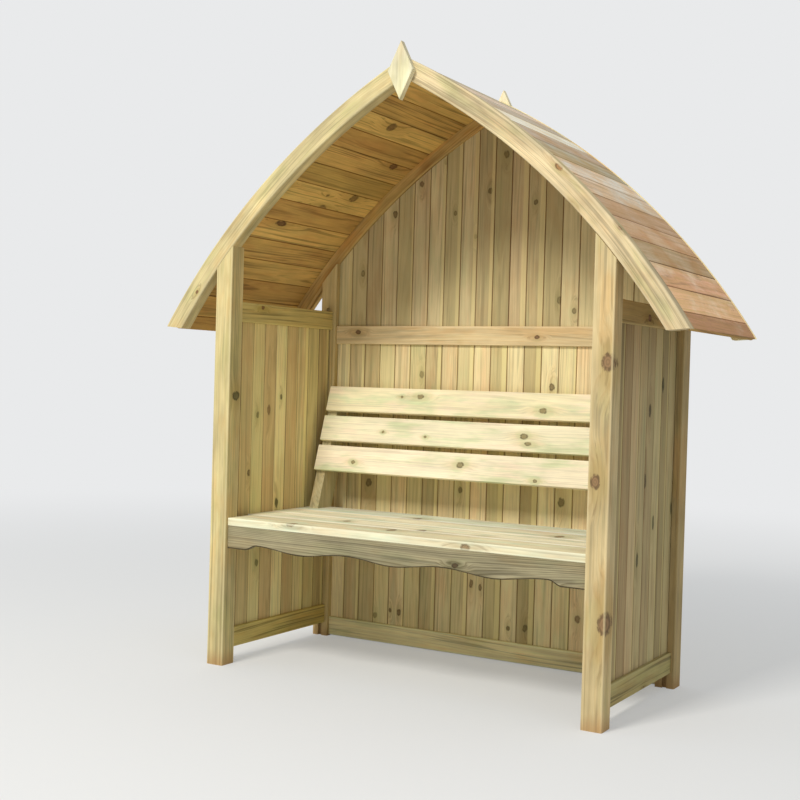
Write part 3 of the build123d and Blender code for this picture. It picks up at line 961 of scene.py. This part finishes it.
def roof_finish(name, knots):
    """Matchboard of the roof, ochre beneath and bleached above."""
    return timber(
        name,
        "board",
        early=(214, 176, 100),
        late=(156, 116, 56),
        warm_colour=(196, 142, 80),
        green_colour=(174, 156, 92),
        knot_colour=(92, 62, 36),
        streak=0.6,
        cloud=0.7,
        line=0.45,
        warm=0.4,
        green=0.35,
        knot_share=0.10,
        knots=knots,
        weathered=True,
        boards={
            "Pink Colour": display((186, 132, 76)),
            "Green Colour": display((170, 148, 78)),
            "Sapwood Colour": display((226, 190, 110)),
            "Tone Range": 0.6,
            "Hue Range": 0.5,
            "Sapwood Amount": 0.2,
            "Joint Dirt And Shade": 0.7,
            "Joint Share": 0.035,
        },
    )


# tone and hue of the left slope's boards, from the eave up
LEFT_SLOPE = (
    (0.40, 0.80), (0.60, 0.55), (0.35, 0.70), (0.60, 0.45), (0.40, 0.60),
    (0.70, 0.50), (0.40, 0.75), (0.95, 0.30), (0.35, 0.20), (0.55, 0.60),
    (0.30, 0.75), (0.95, 0.35), (0.35, 0.60), (0.75, 0.40), (0.60, 0.50),
)

board_back()
board_side(
    -1,
    "left",
    seed=31,
    light_and_shade_lift=(1.12, 1.15, 1.13),
    face=-0.6705,
    spots=(
        (-0.015, 0.905, 0.006, 1.4), (-0.087, 0.858, 0.008, 2.0), (-0.193, 0.640, 0.008, 1.3),
        (-0.152, 0.841, 0.007, 1.6), (-0.027, 0.526, 0.008, 2.0), (-0.136, 0.322, 0.009, 1.3),
    ),
)
board_side(
    1,
    "right",
    seed=47,
    light_and_shade_lift=(0.90, 0.90, 0.89),
    face=0.6845,
    # darker than the other walls: painted shade, as this side stood in shade
    spots=(
        (0.275, 0.588, 0.008, 2.2), (-0.030, 0.452, 0.008, 2.4), (0.105, 0.554, 0.008, 2.4),
        (0.045, 0.905, 0.009, 2.0), (0.160, 0.985, 0.008, 2.6), (0.020, 0.690, 0.008, 2.4),
    ),
)
board_roof(
    -1,
    "left",
    seed=5,
    spots=(
        (-0.221, -0.044, 1.829, 0.016, 1.2),
        (-0.487, 0.142, 1.628, 0.015, 1.3),
        (-0.490, -0.242, 1.624, 0.007, 1.2),
        (-0.611, -0.125, 1.510, 0.010, 2.6),
        (-0.346, 0.182, 1.741, 0.015, 1.3),
        (-0.540, 0.019, 1.580, 0.012, 1.8),
    ),
    kinds=LEFT_SLOPE,
)
board_roof(1, "right", seed=8, spots=((0.796, 0.115, 1.320, 0.006, 1.6),), kinds=())

# the frame's timbers

# how far the pith lies from the middle of a member's section
PITH_ASIDE = 0.05
PITH_DEEP = 0.09
RAFTER_PITH_DOWN = 0.10


def dress(node_name, grain, shift, **looks):
    """Gives a CAD node its timber. Where its looks name no section, it is a straight member, with painted
    highlights along the arrises where its box has them, and the pith to one side of them."""
    if "section" not in looks:
        low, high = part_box(node_name)
        middle, half = (low + high) / 2, (high - low) / 2
        _, across, deep = AXES[grain]
        looks["section"] = (middle[across], middle[deep], half[across], half[deep])
        looks.setdefault("pith", (middle[across] + PITH_ASIDE, middle[deep] + PITH_DEEP))
    wear(nodes[node_name], timber(node_name + "_timber", grain, shift, **looks))


POST = dict(foot=True, wander=0.015, ring=0.3, cloud=0.9, streak=0.4)
dress(
    "front_left_post",
    "Z",
    shift=3.4,
    early=(210, 193, 140),
    knot_colour=(92, 88, 56),
    knots=((-0.645, -0.308, 0.908, 0.006, 2.2),),
    **POST,
)
dress(
    "front_right_post",
    "Z",
    shift=6.1,
    early=(206, 185, 138),
    green=0.3,
    knot_colour=(132, 102, 72),
    knots=(
        (0.707, -0.348, 0.306, 0.017, 1.7),
        (0.695, -0.348, 1.044, 0.017, 1.35),
        (0.668, -0.348, 0.706, 0.013, 1.45),
    ),
    **POST,
)
dress("rear_left_post", "Z", shift=9.7, early=(202, 180, 126), **POST)
dress("rear_right_post", "Z", shift=12.6, early=(172, 150, 104), **POST)
left_knot = (-0.652, -0.154, 1.215, 0.007, 1.2)
dress("left_top_rail", "Y", shift=7.4, early=(204, 186, 120), line=0.45, knots=(left_knot,))
dress("left_bottom_rail", "Y", shift=9.7, early=(206, 186, 112), line=0.45)
right_knot = (0.698, -0.019, 1.186, 0.009, 1.4)
dress("right_top_rail", "Y", shift=12.0, early=(186, 160, 104), line=0.45, knots=(right_knot,))
dress("right_bottom_rail", "Y", shift=14.3, early=(176, 162, 108), line=0.45)
dress(
    "back_mid_rail",
    "X",
    shift=9.4,
    early=(220, 198, 152),
    late=(184, 142, 90),
    line=0.2,
    knot_colour=(112, 80, 56),
    knots=((-0.550, 0.295, 1.153, 0.008, 1.3), (0.183, 0.295, 1.139, 0.006, 1.4)),
)
dress("back_bottom_rail", "X", shift=12.3, early=(244, 230, 178), line=0.4)
RAFTER_LOOKS = {
    "front_left_rafter": dict(
        early=(206, 190, 142),
        green=0.4,
        warm=0.35,
        streak=0.35,
        knots=((-0.793, -0.348, 1.257, 0.005, 1.2),),
    ),
    "rear_left_rafter": dict(early=(190, 158, 96)),
    "front_right_rafter": dict(
        early=(210, 191, 150),
        late=(172, 132, 84),
        warm_colour=(204, 168, 120),
        green=0.5,
        warm=0.45,
        streak=0.35,
        line=0.3,
        knot_colour=(150, 108, 66),
        knots=((0.528, -0.348, 1.600, 0.007, 1.8), (0.718, -0.348, 1.421, 0.006, 1.4)),
    ),
    "rear_right_rafter": dict(early=(246, 230, 178), late=(214, 184, 122), cloud=0.6),
}
for i, (name, looks) in enumerate(RAFTER_LOOKS.items()):
    low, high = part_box(name)
    y = (low.y + high.y) / 2
    section = (RAFTER_HEIGHT / 2, y, RAFTER_HEIGHT / 2, (high.y - low.y) / 2)
    pith = (RAFTER_PITH_DOWN, y + PITH_ASIDE)
    looks = {"pith": pith, "cloud": 1.5, "warm": 0.7, **looks}
    dress(name, "arch", shift=4.7 * i + 1.7, section=section, **looks)


# the early wood and the knots of each seat board, from the front
SEAT_BOARDS = (
    (
        (231, 225, 189),
        (
            (-0.387, -0.332, 0.498, 0.009, 1.6),
            (0.256, -0.335, 0.480, 0.011, 1.3),
            (-0.06, -0.24, 0.498, 0.008, 1.5),
        ),
    ),
    ((253, 248, 217), ((-0.300, -0.130, 0.498, 0.006, 1.5), (0.018, -0.190, 0.498, 0.008, 1.6))),
    ((253, 248, 217), ((0.420, -0.010, 0.498, 0.008, 1.5),)),
    ((243, 251, 227), ((-0.160, 0.099, 0.498, 0.008, 1.6),)),
)
for i, (early, knots) in enumerate(SEAT_BOARDS):
    dress(
        f"seat_board_{i + 1}",
        "X",
        shift=5.1 * i + 2.2,
        early=early,
        late=(196, 170, 122),
        warm_colour=(232, 206, 166),
        green_colour=(218, 232, 202),
        knot_colour=(140, 116, 82),
        ring=0.4,
        streak=0.4,
        line=0.25,
        green=0.8,
        knots=knots,
    )

# the early wood and the knots of each slat, from the lowest
BACK_SLATS = (
    (
        (250, 238, 207),
        (
            (-0.039, 0.176, 0.689, 0.009, 1.4),
            (0.251, 0.164, 0.653, 0.005, 1.4),
            (-0.476, 0.171, 0.674, 0.006, 1.3),
        ),
    ),
    (
        (243, 234, 200),
        (
            (0.185, 0.210, 0.798, 0.009, 1.4),
            (0.204, 0.202, 0.774, 0.006, 2.0),
            (-0.374, 0.207, 0.788, 0.004, 1.2),
            (-0.197, 0.204, 0.778, 0.004, 1.2),
        ),
    ),
    (
        (242, 231, 190),
        (
            (-0.245, 0.248, 0.919, 0.008, 1.5),
            (-0.322, 0.247, 0.916, 0.004, 1.2),
            (0.240, 0.237, 0.886, 0.009, 1.5),
        ),
    ),
)
for i, (early, knots) in enumerate(BACK_SLATS):
    dress(
        f"back_slat_{i + 1}",
        "X",
        shift=3.7 * i + 5.2,
        early=early,
        late=(214, 190, 138),
        warm_colour=(250, 228, 200),
        green_colour=(202, 214, 166),
        knot_colour=(138, 124, 84),
        pith=(0.9, 0.3),
        ring=0.25,
        streak=0.25,
        cloud=0.5,
        line=0.12,
        warm=0.6,
        green=0.75,
        knot_share=0.0,
        section=None,
        knots=knots,
    )

# the apron's lower edge: half a wave's length, its rise, how far out the waves end, and
# how long the shoulder after them is
SCALLOP_HALF = 175 * MM
SCALLOP_RISE = 16 * MM
SCALLOPS_END = 525 * MM
SHOULDER = 47 * MM
# how far up from the edge, and in from the front, painted shade and dark stain lie along it
RIM_FADES = 5.0 * MM
RIM_DARK = 1.6 * MM
FRONT_FADES = 2.0 * MM
FRONT_DARK = 1.0 * MM


def scalloped_edge_shade_and_stain(w, place):
    """Where the apron's front is dark along its sawn and scalloped lower edge: painted shade, with some dark
    stain.
    """
    x, y, z = w.split(place)
    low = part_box("seat_apron")[0].z
    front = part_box("seat_apron")[0].y
    from_crest = w.maths("PINGPONG", w.maths("ADD", x, SCALLOPS_END), SCALLOP_HALF)
    wave = w.ease(from_crest, 0.0, SCALLOP_HALF, SCALLOP_RISE, 0.0)
    aside = w.maths("ABSOLUTE", x)
    shoulder = w.ease(aside, SCALLOPS_END, SCALLOPS_END + SHOULDER, SCALLOP_RISE, 0.0)
    above = w.minus(z, w.maths("MINIMUM", wave, shoulder))
    rim = w.ease(above, low + RIM_FADES, low + RIM_DARK)
    return w.times(rim, w.spread(y, front + FRONT_FADES, front + FRONT_DARK))


dress(
    "seat_apron",
    "X",
    shift=31.0,
    early=(161, 151, 119),
    late=(92, 80, 48),
    warm_colour=(160, 138, 96),
    green_colour=(140, 142, 104),
    knot_colour=(76, 60, 40),
    pith=(0.395, -0.295),
    wander=0.06,
    ring_width=0.0048,
    ring=0.85,
    streak=0.4,
    line=0.35,
    cloud=0.9,
    section=None,
    sawn_edge=scalloped_edge_shade_and_stain,
    knots=((0.222, -0.3335, 0.423, 0.007, 1.4),),
)
for i, name in enumerate(("left_seat_bearer", "right_seat_bearer", "middle_seat_bearer")):
    dress(name, "Y", shift=6.1 * i + 3.2)
dress("rear_seat_bearer", "X", shift=44.0)
for i, name in enumerate(("left_backrest_support", "right_backrest_support")):
    dress(name, "Z", shift=8.1 * i + 50.2, early=(202, 190, 148), pith=(-0.6, 0.2), section=None)
for i, name in enumerate(("front_finial", "rear_finial")):
    dress(
        name,
        "Z",
        shift=8.1 * i + 60.2,
        early=(228, 220, 186),
        green_colour=(196, 190, 146),
        ring=0.1,
        streak=0.2,
        cloud=1.2,
        line=0.1,
        green=0.7,
        knot_share=0.0,
        section=None,
    )


# floor, light and camera

PALE = (233, 234, 235)
FLOOR_GREY = (226, 226, 224)
FLOOR_SIZE = 80.0
FADE_FROM = 1.0
FADE_TO = 7.0
GLOW_NEAR = 0.35
SKY_TINT = (0.95, 0.98, 1.0, 1.0)
SKY_STRENGTH = 0.60
SENSOR_WIDTH = 36.0
PHOTO_WIDTH = 800
FOCAL_PIXELS = 1252.14
CAMERA_PLACE = (1.98446, -3.66309, 0.97564)


def make_floor():
    """A plain pale floor, which takes the object's shadow and fades into the backdrop."""
    bpy.ops.mesh.primitive_plane_add(size=FLOOR_SIZE, location=(0, 0, 0))
    floor = bpy.context.object
    floor.name = "floor"
    material = bpy.data.materials.new("pale_floor")
    material.use_nodes = True
    w = Wires(material.node_tree)
    matt = w.tree.nodes["Principled BSDF"]
    w.fill(matt, {"Base Color": display(FLOOR_GREY), "Roughness": 0.9, "Specular IOR Level": 0.1})
    glow = w.add("Emission", display(PALE), 1.0)
    away = w.vector("LENGTH", w.add("TexCoord").outputs["Object"])
    faded = w.ease(away, FADE_FROM, FADE_TO, GLOW_NEAR, 1.0)
    share = w.times(faded, w.add("LightPath").outputs["Is Camera Ray"])
    mix = w.add("MixShader", share, matt.outputs["BSDF"], glow.outputs["Emission"])
    w.put(mix.outputs[0], w.tree.nodes["Material Output"].inputs["Surface"])
    floor.data.materials.append(material)


def make_world():
    """Even, pale surroundings, seen as a light grey behind the object."""
    world = bpy.data.worlds.new("studio")
    world.use_nodes = True
    bpy.context.scene.world = world
    w = Wires(world.node_tree)
    w.tree.nodes.clear()
    light = w.add("Background", SKY_TINT, SKY_STRENGTH)
    seen = w.add("Background", display(PALE), 1.0)
    to_camera = w.add("LightPath").outputs["Is Camera Ray"]
    mix = w.add("MixShader", to_camera, light.outputs[0], seen.outputs[0])
    w.add("OutputWorld", mix.outputs[0])


def add_softbox(name, place, aim, size, power, tint):
    """A square area lamp at a place, turned to a point."""
    lamp = bpy.data.lights.new(name, "AREA")
    lamp.shape = "SQUARE"
    lamp.size = size
    lamp.energy = power
    lamp.color = tint
    holder = bpy.data.objects.new(name, lamp)
    bpy.context.collection.objects.link(holder)
    holder.location = place
    way = Vector(aim) - Vector(place)
    holder.rotation_euler = way.to_track_quat("-Z", "Y").to_euler()


def make_camera():
    """The camera where the photograph was taken from."""
    lens = bpy.data.cameras.new("photo_camera")
    lens.sensor_width = SENSOR_WIDTH
    lens.lens = FOCAL_PIXELS / PHOTO_WIDTH * SENSOR_WIDTH
    lens.clip_end = 200.0
    camera = bpy.data.objects.new("photo_camera", lens)
    bpy.context.collection.objects.link(camera)
    right = Vector((0.85993931, 0.50958953, 0.02868625))
    up = Vector((-0.03260372, -0.00124368, 0.99946758))
    back = Vector((0.50935389, -0.86041674, 0.01554503))
    turn = Matrix((right, up, back)).transposed().to_4x4()
    camera.matrix_world = Matrix.Translation(CAMERA_PLACE) @ turn
    bpy.context.scene.camera = camera


make_floor()
make_world()
add_softbox(
    "key_softbox",
    place=(-0.75, -5.3, 5.4),
    aim=(0, 0, 1.0),
    size=1.5,
    power=340,
    tint=(1.0, 0.975, 0.93),
)
make_camera()

bpy.context.scene.view_settings.view_transform = "Standard"
